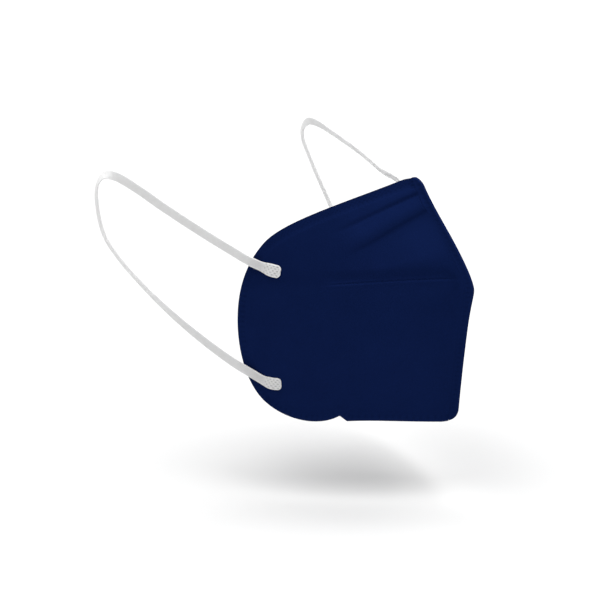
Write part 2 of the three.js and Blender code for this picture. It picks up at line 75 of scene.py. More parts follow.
aim = cad_middle + VIEW_AIM
towards_camera = np.array((
    math.sin(VIEW_AZIMUTH) * math.cos(VIEW_RISE),
    -math.cos(VIEW_AZIMUTH) * math.cos(VIEW_RISE),
    math.sin(VIEW_RISE),
))
camera_data = bpy.data.cameras.new("camera")
camera_data.sensor_width = SENSOR_WIDTH
camera_data.lens = LENS
camera_data.clip_start = CLIP_START
camera = bpy.data.objects.new("camera", camera_data)
camera.location = Vector(aim + VIEW_DISTANCE * towards_camera)
camera.rotation_euler = Vector(-towards_camera).to_track_quat("-Z", "Y").to_euler()
bpy.context.scene.collection.objects.link(camera)
bpy.context.scene.camera = camera
bpy.context.scene.view_settings.view_transform = "Standard"

FLOOR_DROP = 44 * MM
FLOOR_SIZE = 200.0
FLOOR_WHITE = 0.64
bpy.ops.mesh.primitive_plane_add(
    size=FLOOR_SIZE, location=(0, 0, cad_low[2] - FLOOR_DROP))
floor = bpy.context.active_object
floor.name = "floor"
floor_material = bpy.data.materials.new("pale_floor")
floor_material.use_nodes = True
floor_shader = floor_material.node_tree.nodes["Principled BSDF"]
floor_shader.inputs["Base Color"].default_value = (FLOOR_WHITE, FLOOR_WHITE, FLOOR_WHITE, 1)
floor_shader.inputs["Roughness"].default_value = 1.0
floor_shader.inputs["Specular IOR Level"].default_value = 0.0
floor.data.materials.append(floor_material)
floor.select_set(False)

# Two large soft lamps hang overhead, one to each side of the view. Each one's rays come from
# a wide cone around its own direction.
LAMP_LEANS = (-19, 27)
LAMP_SPREAD = math.radians(64)
LAMP_STRENGTH = 2.75
ROOM_STRENGTH = 0.16
across_view = Vector((math.cos(VIEW_AZIMUTH), math.sin(VIEW_AZIMUTH), 0))
for place, lean in enumerate(LAMP_LEANS):
    lamp_data = bpy.data.lights.new(f"overhead_lamp_{place}", "SUN")
    lamp_data.angle = LAMP_SPREAD
    lamp_data.energy = LAMP_STRENGTH
    lamp = bpy.data.objects.new(f"overhead_lamp_{place}", lamp_data)
    lamp_from = Vector((0, 0, 1)) + math.tan(math.radians(lean)) * across_view
    lamp.rotation_euler = lamp_from.to_track_quat("Z", "Y").to_euler()
    bpy.context.scene.collection.objects.link(lamp)

world = bpy.data.worlds.new("white_room")
world.use_nodes = True
world.node_tree.nodes["Background"].inputs["Color"].default_value = (1, 1, 1, 1)
world.node_tree.nodes["Background"].inputs["Strength"].default_value = ROOM_STRENGTH
bpy.context.scene.world = world

# ---- Half shells ----------------------------------------------------------------------------
# Each half is one laminate of spunbond and filter fleece, 1.4 mm thick, cut to shape, pressed
# thin along its free edges by a patterned weld, and creased and channelled by a hot tool.
# Shapes are worked out in side view: "back" behind the peak of the front seam, "up" above it
# and "out" from the middle plane, all in millimetres.

SEAT_BACK = 40.0
SEAT_UP = 54.0
SMOOTH_ANGLE = math.radians(40)

NOSE_TOP = 55.4
CHIN_LOW = -74.6
NOSE_LEAN = math.tan(math.radians(30.5))
CHIN_LEAN = math.tan(math.radians(4.7))
NOSE_BOW = 6.3
NOSE_BOW_SKEW = 13.3
CHIN_HOLLOW = 2.4
PEAK_JUT = 0.84
PEAK_JUT_REACH = 10.4
PEAK_ROUND = 1.0
FIN_WIDTH = 4.0
FIN_THICK = 1.2
GAP = 0.3

FRONT_ANGLE = math.radians(46)
EAR_ANGLE = math.radians(18)
PLAN_ARC = 118.0
SHELL_RADIUS = PLAN_ARC / (FRONT_ANGLE - EAR_ANGLE)
ROOT_BACK = FIN_WIDTH + GAP
ROOT_OUT = FIN_THICK / 2 + GAP / 2
ROOT_FILLET = 3.0

# The edge that runs back from the peak grows rounder: from where, to where and by how much.
SOFTENING = ((0, 20, 4.5), (50, 100, 12))

# Pressed crease that runs back from the peak. Below it and for some way above it the panel is
# drawn in, so that it stands upright there.
CREASE_UP = 5.4
CREASE_FALL = 0.00084
RECESS_DEPTH = 4.0
RECESS_BELOW = 6.5
RECESS_ABOVE = 10.5
RECESS_LOWERS = 3.0
RECESS_NARROWS = (10, 38)
RECESS_START = (0, 7)
RECESS_FADE = (26, 60)
RECESS_FOOT = (4, 68)


def ramp(start, end, value):
    """Smooth step from 0 at start to 1 at end."""
    share = np.clip((value - start) / (end - start), 0, 1)
    return share * share * (3 - 2 * share)


def seam_back(up, rounding=PEAK_ROUND):
    """How far the front seam lies behind its peak at a height."""
    reach = np.hypot(up, rounding)
    above = (reach + up) / 2
    below = (reach - up) / 2
    share = np.minimum(above / NOSE_TOP, 1)
    low_share = np.minimum(below / -CHIN_LOW, 1)
    bow = share * (1 - share) * (NOSE_BOW + NOSE_BOW_SKEW * (1 - 2 * share))
    hollow = CHIN_HOLLOW * low_share * (1 - low_share)
    jut = PEAK_JUT * np.exp(-(reach / PEAK_JUT_REACH) ** 2)
    return NOSE_LEAN * above + CHIN_LEAN * below - bow + hollow - jut


def behind_seam(back, up):
    return back - ROOT_BACK - seam_back(up)


def root_blend(out):
    """Rounds the inner corner between the fin's flat side and the shell that leaves it."""
    over = out - FIN_THICK / 2
    return FIN_THICK / 2 + (over + np.hypot(over, ROOT_FILLET)) / 2


def over_crease(depth, up):
    return up - (CREASE_UP - CREASE_FALL * depth * depth)


def peak_recess(depth, up):
    """How far the panel is drawn in behind the peak."""
    over = over_crease(depth, up)
    above = RECESS_ABOVE - RECESS_LOWERS * ramp(*RECESS_NARROWS, depth)
    tall = 1 - ramp(-RECESS_BELOW, above, over)
    fade = ramp(*RECESS_START, depth) * (1 - ramp(*RECESS_FADE, depth))
    return RECESS_DEPTH * tall * (1 - ramp(*RECESS_FOOT, -over)) * fade


def shell_out(back, up):
    """Distance of the plain shell from the middle plane: an arc in plan behind the seam."""
    depth = behind_seam(back, up)
    rounding = PEAK_ROUND + sum(more * ramp(start, end, depth) for start, end, more in SOFTENING)
    run = back - ROOT_BACK - seam_back(up, rounding)
    sine = math.sin(FRONT_ANGLE) - np.maximum(run, 0) / SHELL_RADIUS
    bulge = SHELL_RADIUS * (np.sqrt(1 - sine * sine) - math.cos(FRONT_ANGLE))
    plain = ROOT_OUT + bulge + np.minimum(run, 0) * math.tan(FRONT_ANGLE)
    return root_blend(plain) - peak_recess(depth, up)


def shell_normal(side, back, up):
    step = 0.05
    along_back = (shell_out(back + step, up) - shell_out(back - step, up)) / (2 * step)
    along_up = (shell_out(back, up + step) - shell_out(back, up - step)) / (2 * step)
    normal = np.stack([np.full_like(along_back, side), -along_back, -along_up], axis=-1)
    return normal / np.linalg.norm(normal, axis=-1, keepdims=True)


def shell_point(side, back, up, height):
    """Points at a height over the plain shell's outer face."""
    base = np.stack([side * shell_out(back, up), back + 0 * up, up + 0 * back], axis=-1)
    return base + np.asarray(height)[..., None] * shell_normal(side, back, up)


# Raised channel of the nose strip: height on the seam, and fall per millimetre towards the
# ear, of the foot of the top weld band and of the channel's two grooves.
BAND_FOOT = (50.8, 0.377)
UPPER_GROOVE = (47.6, 0.447)
LOWER_GROOVE = (39.2, 0.521)
CHANNEL_START = (-2.6, 1.0)
CHANNEL_FADE = (30.0, 46.0)
CHANNEL_SLOPE = 0.85
CHANNEL_SKEW = 1.05
CHANNEL_LIFT = 0.5
LIFT_TALL = 4.5
LIFT_FADE = 3.0
PLEAT_RISE = 0.18
PLEAT_LEAST = 1.6
PLEAT_FADE = (6.0, 26.0)
GROOVE_DEPTH = 0.3
GROOVE_WIDTH = 1.0

# The crease itself: a fine pressed line, a shallow dip above it and a thin lip below it.
CREASE_START = (1, 8)
CREASE_FADE = (50, 60)
CREASE_DEPTH = 0.5
CREASE_WIDTH = 0.55
DIP_DEPTH = 0.55
DIP_BOTTOM = 1.6
DIP_TOP = 7.0
LIP_FOOT = -3.0
LIP_TOP = -0.7
LIP_RISE = 0.1


def channel_fade(depth):
    return ramp(*CHANNEL_START, depth) * (1 - ramp(*CHANNEL_FADE, depth))


def channel_relief(depth, up):
    """Height of the raised channel: steep at its lower groove and gentle at its upper one."""
    foot, upper, lower = (at - fall * depth for at, fall in
                          (BAND_FOOT, UPPER_GROOVE, LOWER_GROOVE))
    share = np.clip((up - lower) / (upper - lower), 0, 1)
    arch = CHANNEL_SLOPE * (upper - lower) * share * (1 - share) * (CHANNEL_SKEW - share)
    lift = CHANNEL_LIFT * np.clip(1 - (lower - up) / LIFT_TALL, 0, 1) ** 2
    lift = lift * (1 - ramp(upper, foot + LIFT_FADE, up))
    pleat_tall = np.maximum(foot - upper, PLEAT_LEAST)
    pleat = np.sin(math.pi * np.clip((up - upper) / pleat_tall, 0, 1))
    pleat = PLEAT_RISE * pleat * (1 - ramp(*PLEAT_FADE, depth))
    line = GROOVE_DEPTH * np.exp(-((up - upper) / GROOVE_WIDTH) ** 2)
    return channel_fade(depth) * (arch + lift + pleat - line)


def crease_relief(depth, up):
    """Height of the crease over the plain shell: line, dip and lip."""
    over = over_crease(depth, up)
    dip = ramp(0, DIP_BOTTOM, over) * (1 - ramp(DIP_BOTTOM, DIP_TOP, over))
    line = np.exp(-(over / CREASE_WIDTH) ** 2)
    lip = ramp(LIP_FOOT, LIP_TOP, over) * (1 - ramp(LIP_TOP, 0.0, over))
    fade = ramp(*CREASE_START, depth) * (1 - ramp(*CREASE_FADE, depth))
    return fade * (LIP_RISE * lip - CREASE_DEPTH * line - DIP_DEPTH * dip)


# Painted shade: above the crease behind the peak the fleece is coloured darker, in the dip.
PEAK_SHADE_TALL = 15.0
PEAK_SHADE_LOWERS = 7.0
PEAK_SHADE_NARROWS = (6, 34)
PEAK_SHADE_EDGE = 1.0
PEAK_SHADE_SOLID = 0.6
PEAK_SHADE_FADE = (34, 58)


def painted_peak_shade(depth, up):
    """Painted shade behind the peak: 1 just above the crease, 0 where it ends."""
    over = over_crease(depth, up)
    tall = PEAK_SHADE_TALL - PEAK_SHADE_LOWERS * ramp(*PEAK_SHADE_NARROWS, depth)
    share = ramp(-PEAK_SHADE_EDGE, PEAK_SHADE_EDGE, over) * (1 - ramp(PEAK_SHADE_SOLID * tall, tall, over))
    return share * (1 - ramp(*PEAK_SHADE_FADE, depth))


# Outline of a half shell in side view: top edge, ear edge, lower lobe, notch and chin edge.
TOP_EDGE = ((32.9, 59.0), (55.3, 45.6), (86.7, 35.1), (95.1, 21.8))
EAR_EDGE = ((93.6, -63.6), (110.1, -46.6), (110.9, -1.2), (95.1, 21.8))
LOBE_EDGE = ((56.7, -70.1), (67.5, -77.9), (84.5, -72.7), (93.6, -63.6))
CHIN_EDGE_END = (53.4, -73.1)
TOP_EDGE_DROP = 1.0
TOP_EDGE_DROP_REACH = 5.0
CHIN_ARCH = 0.8
NOSE_CORNER = 4.0
CHIN_CORNER = 8.0
LOBE_SAMPLES = 401
EDGE_SAMPLES = 2001


def bezier(points, share):
    share = np.asarray(share)[..., None]
    weights = ((1 - share) ** 3, 3 * share * (1 - share) ** 2,
               3 * share ** 2 * (1 - share), share ** 3)
    return sum(weight * np.array(point) for weight, point in zip(weights, points))


def corner_cut(radius, distance):
    """How far a rounded corner cuts into one of its edges, at a distance from the other."""
    left = np.clip(radius - distance, 0, radius)
    return radius - np.sqrt(radius ** 2 - left ** 2)


def lower_edge(back):
    """Height of the lower outline: rounded chin corner, chin edge, notch and lobe."""
    front = seam_back(CHIN_LOW)
    share = np.clip((back - front) / (CHIN_EDGE_END[0] - front), 0, 1)
    straight = np.interp(back, *zip((front, CHIN_LOW), CHIN_EDGE_END, LOBE_EDGE[0]))
    highest = 4 / 27
    straight = straight + CHIN_ARCH * share ** 2 * (1 - share) / highest
    lobe = bezier(LOBE_EDGE, np.linspace(0, 1, LOBE_SAMPLES))
    plain = np.where(back <= LOBE_EDGE[0][0], straight, np.interp(back, lobe[:, 0], lobe[:, 1]))
    return plain + corner_cut(CHIN_CORNER, back - front)


# Rows of the mesh from the chin up: height on the seam, where the channel ends and on the ear
# edge, and the number of mesh rows from there to the next line.
SHELL_ROWS = (
    # seam, bend, ear, rows
    (CHIN_LOW, -73.0, LOBE_EDGE[-1][1], 12),
    (-69.4, -66.6, -59.0, 34),
    (-33.0, -31.5, -30.0, 28),
    (-7.0, -7.6, -10.0, 18),
    (3.0, 1.4, -2.6, 12),
    (7.0, 5.0, -0.4, 8),
    (12.0, 8.0, 2.2, 30),
    (36.0, 12.8, 7.8, 9),
    (39.2, 14.2, 9.2, 9),
    (42.8, 19.4, 11.8, 10),
    (47.6, 26.1, 14.8, 9),
    (50.8, 32.0, 17.8, 15),
    (NOSE_TOP, 38.8, TOP_EDGE[-1][1], 1),
)
BEND_DEPTH = 48.0
FRONT_STEPS = 104
REAR_STEPS = 84
EAR_CROWDING = 0.18
EDGE_BLEND = 30.0


def side_view_grid():
    """Rows and columns of side-view points that fill the outline of a half shell."""
    table = np.array([row[:3] for row in SHELL_ROWS])
    places = np.concatenate([
        line + np.arange(row[3]) / row[3] for line, row in enumerate(SHELL_ROWS[:-1])
    ] + [[len(SHELL_ROWS) - 1]])
    seam, bend, ear = (np.interp(places, np.arange(len(table)), column) for column in table.T)
    depths = BEND_DEPTH * np.linspace(0, 1, FRONT_STEPS + 1)
    shares = np.linspace(0, 1, REAR_STEPS + 1)[1:]
    # The columns lie closer together in the ear band.
    shares = shares + EAR_CROWDING * np.sin(math.pi * shares)

    samples = np.linspace(0, 1, EDGE_SAMPLES)
    ear_line = bezier(EAR_EDGE, samples)
    ear_back = np.interp(ear, ear_line[:, 1], ear_line[:, 0])

    front_up = seam[:, None] + (bend - seam)[:, None] * depths / BEND_DEPTH
    front_back = ROOT_BACK + seam_back(front_up) + depths
    rear_back = front_back[:, -1:] + (ear_back[:, None] - front_back[:, -1:]) * shares
    rear_up = front_up[:, -1:] + (ear[:, None] - front_up[:, -1:]) * shares
    back = np.hstack([front_back, rear_back])
    up = np.hstack([front_up, rear_up])

    top_line = bezier(TOP_EDGE, samples)
    top_depth = behind_seam(top_line[:, 0], top_line[:, 1])
    front_share = np.interp(depths, top_depth, samples)
    top_share = np.concatenate([front_share, front_share[-1] + (1 - front_share[-1]) * shares])
    top = bezier(TOP_EDGE, top_share)
    drop = TOP_EDGE_DROP * np.clip(1 - behind_seam(*top.T) / TOP_EDGE_DROP_REACH, 0, 1) ** 2
    top = top - drop[:, None] * (NOSE_LEAN, 1)
    near_top = np.clip(1 - (NOSE_TOP - seam) / EDGE_BLEND, 0, 1)[:, None] ** 2
    near_chin = np.clip(1 - (seam - CHIN_LOW) / EDGE_BLEND, 0, 1)[:, None] ** 2
    chin_shift = lower_edge(back[0]) - up[0]
    back = back + near_top * (top[:, 0] - back[-1])
    up = up + near_top * (top[:, 1] - up[-1]) + near_chin * chin_shift
    return back, up


def edge_distance(back, up, line):
    """Distance of every grid point to a line in side view, and how far along it that is."""
    steps = np.linalg.norm(np.diff(line, axis=0), axis=1)
    along_line = np.concatenate([[0], np.cumsum(steps)])
    points = np.stack([back.ravel(), up.ravel()], axis=-1)
    best = np.full(len(points), np.inf)
    along = np.zeros(len(points))
    for start, end, length, before in zip(line, line[1:], steps, along_line):
        way = (end - start) / length
        run = np.clip((points - start) @ way, 0, length)
        distance = np.linalg.norm(points - start - run[:, None] * way, axis=1)
        closer = distance < best
        best = np.where(closer, distance, best)
        along = np.where(closer, before + run, along)
    return best.reshape(back.shape), along.reshape(back.shape)


# Wall of the laminate, thinner in the band along its free edges, how strongly the tool has
# pressed each area, and how strong the painted shade is in three areas.
WALL = 1.4
RIM_WALL = 0.8
BAND_START = 4.4
BAND_END = 6.2
PRESS_DEPTH = 0.2
# Strength of the painted shade above the crease behind the peak.
PEAK_SHADE_STRENGTH = 0.35
# Painted shade on the upper panel above the crease, stronger towards the rear: strength, where
# it grows and its foot.
UPPER_SHADE = 0.42
UPPER_SHADE_START = (8, 50)
UPPER_SHADE_FOOT = (-3, 5)
# Painted shade above the channel's lower groove near the seam: strength and foot.
CHANNEL_SHADE = 0.25
CHANNEL_SHADE_FOOT = (-1, 3)
INNER_PRESS = 0.5
ROOT_EASE = 1.6

# Pocket of the nose strip on the inside. It is deepest at the seam, where the strip bends.
POCKET_DEPTH = 2.4
POCKET_SOFT = 1.0
POCKET_START = (-2, 2)
POCKET_END = (43, 47)
POCKET_AT_SEAM = 2.3
POCKET_SEAM_REACH = (4.0, 13.0)

# The two pockets leave a slot for the seam's tongue and nearly close behind it.
SLOT_CLOSES = (1.4, 3.0)
SLOT_LEFT = 0.02

# Weld marks: a knurled band and a dashed foot line along the top edge, and bars along the ear
# and chin edges.
DOT_PITCH = 1.9
DOT_EDGE = (0.15, 0.75)
BAR_PITCH = 2.9
BAR_EDGE = (0.0, 0.8)
KNURL_BAND = (0.5, 4.1)
KNURL_LEAST = 0.3
DASHES_AT = 5.1
DASHES_WIDE = 0.45
DASHES_PRESS = 0.6
EAR_BARS = (1.2, 3.8)
EAR_BARS_PRESS = 0.5
CHIN_BARS = (1.2, 3.6)
CHIN_BARS_PRESS = 0.4
STITCH_PITCH = 0.9 * DOT_PITCH
STITCH_FADE = (12, 26)

# Pressed lines along the channel's grooves: width, and how strongly the whole line and the
# stitches on its front part are pressed.
GROOVE_WELDS = (
    # groove, width, line, stitches
    (UPPER_GROOVE, 0.95, 0.7, 0.3),
    (LOWER_GROOVE, 1.3, 0.55, 0.0),
)


def dots(along, across, pitch):
    """Staggered lattice of round weld points, 1 in a point and 0 between."""
    lattice = np.cos(2 * math.pi * along / pitch) * np.cos(2 * math.pi * across / pitch)
    return ramp(*DOT_EDGE, lattice)


def bars(along, pitch):
    """Row of bars along an edge, 1 in a bar and 0 between."""
    return ramp(*BAR_EDGE, np.cos(2 * math.pi * along / pitch))


def window(value, start, end, soft=0.3):
    """1 between start and end and 0 outside, with soft sides."""
    return ramp(start - soft, start + soft, value) * (1 - ramp(end - soft, end + soft, value))


def weld_pattern(back, up, depth):
    """How strongly each point of the laminate is pressed by the welding tool, 0 to 1."""
    top, top_along = edge_distance(back, up, np.stack([back[-1], up[-1]], axis=-1)[::4])
    ear, ear_along = edge_distance(back, up, np.stack([back[:, -1], up[:, -1]], axis=-1)[::3])
    chin, chin_along = edge_distance(back, up, np.stack([back[0], up[0]], axis=-1)[::4])
    points = KNURL_LEAST + (1 - KNURL_LEAST) * dots(top_along, top, DOT_PITCH)
    knurl = window(top, *KNURL_BAND) * points
    dashes = np.exp(-((top - DASHES_AT) / DASHES_WIDE) ** 2) * bars(top_along, DOT_PITCH)
    ear_bars = EAR_BARS_PRESS * window(ear, *EAR_BARS) * bars(ear_along, BAR_PITCH)
    chin_bars = CHIN_BARS_PRESS * window(chin, *CHIN_BARS) * bars(chin_along, BAR_PITCH)
    press = np.maximum.reduce(
        [knurl, DASHES_PRESS * dashes, ear_bars * (top > BAND_END), chin_bars])
    for (at, fall), wide, plain, stitched in GROOVE_WELDS:
        over = up - (at - fall * depth)
        stitches = bars(depth, STITCH_PITCH) * (1 - ramp(*STITCH_FADE, depth))
        line = np.exp(-(over / wide) ** 2) * (plain + stitched * stitches)
        press = np.maximum(press, line * channel_fade(depth))
    return press, np.minimum.reduce([top, ear, chin])


def mesh_object(name, vertices, faces, material, attributes=(), uv=None):
    """New object from points in the side-view frame, moved to the seat of the nose bridge."""
    mesh = bpy.data.meshes.new(name)
    placed = (np.asarray(vertices) - np.array((0, SEAT_BACK, SEAT_UP))) * MM
    mesh.from_pydata(placed.tolist(), [], np.asarray(faces).tolist()
                     if isinstance(faces, np.ndarray) else faces)
    for label, values in attributes:
        layer = mesh.attributes.new(label, "FLOAT", "POINT")
        layer.data.foreach_set("value", np.asarray(values, dtype=np.float32))
    if uv is not None:
        corners = np.empty(len(mesh.loops), dtype=np.int32)
        mesh.loops.foreach_get("vertex_index", corners)
        layer = mesh.uv_layers.new(name="cloth")
        layer.data.foreach_set("uv", np.asarray(uv, dtype=np.float32)[corners].ravel())
    mesh.materials.append(material)
    piece = bpy.data.objects.new(name, mesh)
    bpy.context.scene.collection.objects.link(piece)
    bpy.context.view_layer.objects.active = piece
    piece.select_set(True)
    bpy.ops.object.shade_smooth_by_angle(angle=SMOOTH_ANGLE)
    piece.select_set(False)
    return piece


def node(tree, kind, inputs=(), **settings):
    """New shader node with settings and input values or links."""
    made = tree.nodes.new(kind)
    for key, value in settings.items():
        setattr(made, key, value)
    for key, value in dict(inputs).items():
        if isinstance(value, bpy.types.NodeSocket):
            tree.links.new(value, made.inputs[key])
        else:
            made.inputs[key].default_value = value
    return made


NAVY = (0.0043, 0.0115, 0.0590, 1)
# The darker navy colours the weld presses and also the painted shade behind the peak, on the
# upper panel and above the channel.
NAVY_PRESSED_AND_PAINTED_SHADE = (0.0030, 0.0080, 0.0420, 1)


def navy_fleece():
    """Matt spunbond: fine point bonds and fibres, darker where a weld has pressed it and where
    shade is painted.
    """
    material = bpy.data.materials.new("navy_fleece")
    material.use_nodes = True
    tree = material.node_tree
    shader = tree.nodes["Principled BSDF"]
    shader.inputs["Roughness"].default_value = 0.9
    shader.inputs["Specular IOR Level"].default_value = 0.0
    place = node(tree, "ShaderNodeTexCoord")
    pressed = node(tree, "ShaderNodeAttribute", attribute_name="pressed")
    cloud = node(tree, "ShaderNodeTexNoise", {
        "Vector": place.outputs["Object"], "Scale": 60.0, "Detail": 3.0, "Roughness": 0.5})
    fibre = node(tree, "ShaderNodeTexNoise", {
        "Vector": place.outputs["Object"], "Scale": 1600.0, "Detail": 4.0, "Roughness": 0.7})
    tint = node(tree, "ShaderNodeMapRange", {
        "Value": cloud.outputs["Fac"], "From Min": 0.3, "From Max": 0.7,
        "To Min": 0.96, "To Max": 1.04})
    speck = node(tree, "ShaderNodeMapRange", {
        "Value": fibre.outputs["Fac"], "From Min": 0.3, "From Max": 0.7,
        "To Min": 0.94, "To Max": 1.06})
    shade = node(tree, "ShaderNodeMath", {
        0: tint.outputs["Result"], 1: speck.outputs["Result"]}, operation="MULTIPLY")
    # The pressed attribute mixes in the darker navy: weld presses and painted shade.
    ground = node(tree, "ShaderNodeMix", {
        "Factor": pressed.outputs["Fac"], "A": NAVY, "B": NAVY_PRESSED_AND_PAINTED_SHADE}, data_type="RGBA")
    colour = node(tree, "ShaderNodeVectorMath", {
        0: ground.outputs["Result"], "Scale": shade.outputs[0]}, operation="SCALE")
    tree.links.new(colour.outputs[0], shader.inputs["Base Color"])
    bonds = node(tree, "ShaderNodeTexVoronoi", {
        "Vector": place.outputs["Object"], "Scale": 1100.0, "Randomness": 0.35},
        feature="F1")
    rough = node(tree, "ShaderNodeMath", {
        0: fibre.outputs["Fac"], 1: bonds.outputs["Distance"]}, operation="ADD")
    bump = node(tree, "ShaderNodeBump", {
        "Strength": 0.35, "Distance": 0.00012, "Height": rough.outputs[0]})
    tree.links.new(bump.outputs["Normal"], shader.inputs["Normal"])
    return material


fleece = navy_fleece()


def half_shell(name, side):
    """One half: outer face with its relief, inner face with the pocket, and the rim between."""
    back, up = side_view_grid()
    depth = behind_seam(back, up)
    press, to_edge = weld_pattern(back, up, depth)
    full = ramp(BAND_START, BAND_END, to_edge)
    at_root = 1 - ramp(0.0, ROOT_EASE, depth)
    height = (channel_relief(depth, up) + crease_relief(depth, up)
              - (WALL - RIM_WALL) / 2 * (1 - full) * (1 - at_root)
              - PRESS_DEPTH * press * (1 - at_root))
    upper, lower = (at - fall * depth for at, fall in (UPPER_GROOVE, LOWER_GROOVE))
    in_pocket = (window(up, lower, upper, POCKET_SOFT) * ramp(*POCKET_START, depth)
                 * (1 - ramp(*POCKET_END, depth)))
    pocket = POCKET_DEPTH + POCKET_AT_SEAM * (1 - ramp(*POCKET_SEAM_REACH, depth))
    wall = RIM_WALL + (WALL - RIM_WALL) * full + pocket * in_pocket
    outer = shell_point(side, back, up, height)
    straight_out = shell_point(side, back, up, 0 * height)
    straight_out[..., 0] += side * height / np.abs(shell_normal(side, back, up)[..., 0])
    outer += at_root[..., None] * (straight_out - outer)
    inner = shell_point(side, back, up, height - wall)
    closing = ramp(*SLOT_CLOSES, behind_seam(inner[..., 1], inner[..., 2]))
    slot = GAP / 2 + (SLOT_LEFT - GAP / 2) * closing
    inner[..., 0] = side * np.maximum(side * inner[..., 0], slot)

    rows, columns = back.shape
    index = np.arange(rows * columns).reshape(rows, columns)
    quads = np.stack([index[:-1, :-1], index[:-1, 1:], index[1:, 1:], index[1:, :-1]], axis=-1)
    quads = quads.reshape(-1, 4)
    rim = np.concatenate([index[0, :-1], index[:-1, -1], index[-1, :0:-1], index[:0:-1, 0]])
    following = np.roll(rim, -1)
    walls = np.stack([following, rim, rim + rows * columns, following + rows * columns], axis=-1)
    faces = np.concatenate([quads, quads[:, ::-1] + rows * columns, walls])
    if side < 0:
        faces = faces[:, ::-1]
    vertices = np.concatenate([outer.reshape(-1, 3), inner.reshape(-1, 3)])
    # Painted shade: the upper panel above the crease is coloured darker, more so towards the
    # rear.
    rear = UPPER_SHADE * ramp(*UPPER_SHADE_START, depth) * ramp(*UPPER_SHADE_FOOT, over_crease(depth, up))
    # Painted shade: above the channel's lower groove near the seam the fleece is coloured
    # darker.
    painted_channel_shade = CHANNEL_SHADE * ramp(*CHANNEL_SHADE_FOOT, up - lower) * channel_fade(depth)
    # dense holds the weld presses and the painted shade together, coloured through the pressed
    # attribute.
    dense = np.maximum.reduce([press, PEAK_SHADE_STRENGTH * painted_peak_shade(depth, up), rear, painted_channel_shade])
    pressed = np.concatenate([dense.ravel(), INNER_PRESS * press.ravel()])
    arc = np.concatenate([depth.ravel(), depth.ravel()])
    uv = np.stack([arc, vertices[:, 2]], axis=-1) * MM
    return mesh_object(name, vertices, faces, fleece, [("pressed", pressed)], uv)


HALF_SHELLS = (("right_half_shell", "shell_right", -1), ("left_half_shell", "shell_left", 1))
for name, solid, side in HALF_SHELLS:
    shell = half_shell(name, side)
    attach(shell, "root")
    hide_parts(solid)

# ---- Front seam -----------------------------------------------------------------------------
# The margins of both laminates, welded flat together into a fin 4 mm wide that stands
# forward from the nose over the peak to the chin, with short bars pressed across it.

FIN_STEP = 0.45
FIN_TOP_ROOM = 0.4
FIN_END_ROWS = np.array((0, 0.03, 0.1, 0.25))
FIN_COLUMNS = np.array((0.0, 0.04, 0.1, 0.18, 0.26, 0.34, 0.42, 0.5, 0.58, 0.66, 0.74, 0.82,
                        0.88, 0.94, 1.0))
FIN_PLAY = 0.04
FIN_REACH = ROOT_BACK - FIN_PLAY
TONGUE_REACH = 1.2
TONGUE_HALF = 0.13
FIN_EDGE_HALF = 0.3
FIN_EDGE_EASE = 0.6
FIN_BAR_SPAN = (1.3, 3.4)
FIN_BAR_PITCH = 2.6
FIN_BAR_PRESS = 0.4
FIN_BAR_DEPTH = 0.07


def swept_faces(stations, corners):
    """Faces of a closed tube of sections that have the same number of corners."""
    index = np.arange(stations * corners).reshape(stations, corners)
    beside = np.roll(index, -1, axis=1)
    quads = np.stack([index[:-1], beside[:-1], beside[1:], index[1:]], axis=-1).reshape(-1, 4)
    caps = [index[0, ::-1].tolist(), index[-1].tolist()]
    return quads.tolist() + caps


def front_fin():
    """The fin, flared to meet the shells' roots, with a thin tongue in between them."""
    low = CHIN_LOW + corner_cut(CHIN_CORNER, FIN_REACH)
    between = np.arange(low + FIN_STEP, NOSE_TOP - FIN_TOP_ROOM, FIN_STEP)
    up = np.concatenate([low + FIN_END_ROWS, between, NOSE_TOP - FIN_END_ROWS[::-1]])
    front = (seam_back(up) + corner_cut(CHIN_CORNER, up - CHIN_LOW)
             + corner_cut(NOSE_CORNER, NOSE_TOP - up))
    rear = seam_back(up) + FIN_REACH
    across = front[:, None] + (rear - front)[:, None] * FIN_COLUMNS
    width = across - seam_back(up)[:, None]
    steps = np.hypot(np.diff(up), np.diff(seam_back(up)))
    along = np.concatenate([[0], np.cumsum(steps)])[:, None] + 0 * width
    press = FIN_BAR_PRESS * window(width, *FIN_BAR_SPAN) * bars(along, FIN_BAR_PITCH)
    relief = channel_relief(width - ROOT_BACK, up[:, None] + 0 * width)
    flare = root_blend(ROOT_OUT + (width - ROOT_BACK) * math.tan(FRONT_ANGLE)) + relief
    opening = ramp(0, FIN_EDGE_EASE, across - front[:, None])
    half = FIN_EDGE_HALF + (flare - FIN_EDGE_HALF) * opening - FIN_BAR_DEPTH * press
    tongue_back = rear[:, None] + np.array((FIN_PLAY, TONGUE_REACH))
    tongue_half = np.full_like(tongue_back, TONGUE_HALF)
    backs = np.hstack([across, tongue_back])
    halves = np.hstack([half, tongue_half])
    pressed = np.hstack([press, 0 * tongue_back])
    heights = up[:, None] + 0 * backs
    left = np.stack([halves, backs, heights], axis=-1)
    right = left * (-1, 1, 1)
    sections = np.concatenate([right[:, ::-1], left[:, 1:]], axis=1)
    sections[:, backs.shape[1] - 1, 0] = 0
    ring = np.concatenate([pressed[:, ::-1], pressed[:, 1:]], axis=1)
    faces = swept_faces(*sections.shape[:2])
    return mesh_object("front_seam_fin", sections.reshape(-1, 3), faces, fleece,
                       [("pressed", ring.ravel())])


fin = front_fin()
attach(fin, "root")
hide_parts("front_seam")

# ---- Nose strip -----------------------------------------------------------------------------
# A thin malleable strip of aluminium, bent in a V over the bridge of the nose. It lies in the
# pocket behind the raised channel, where the cloth hides it.

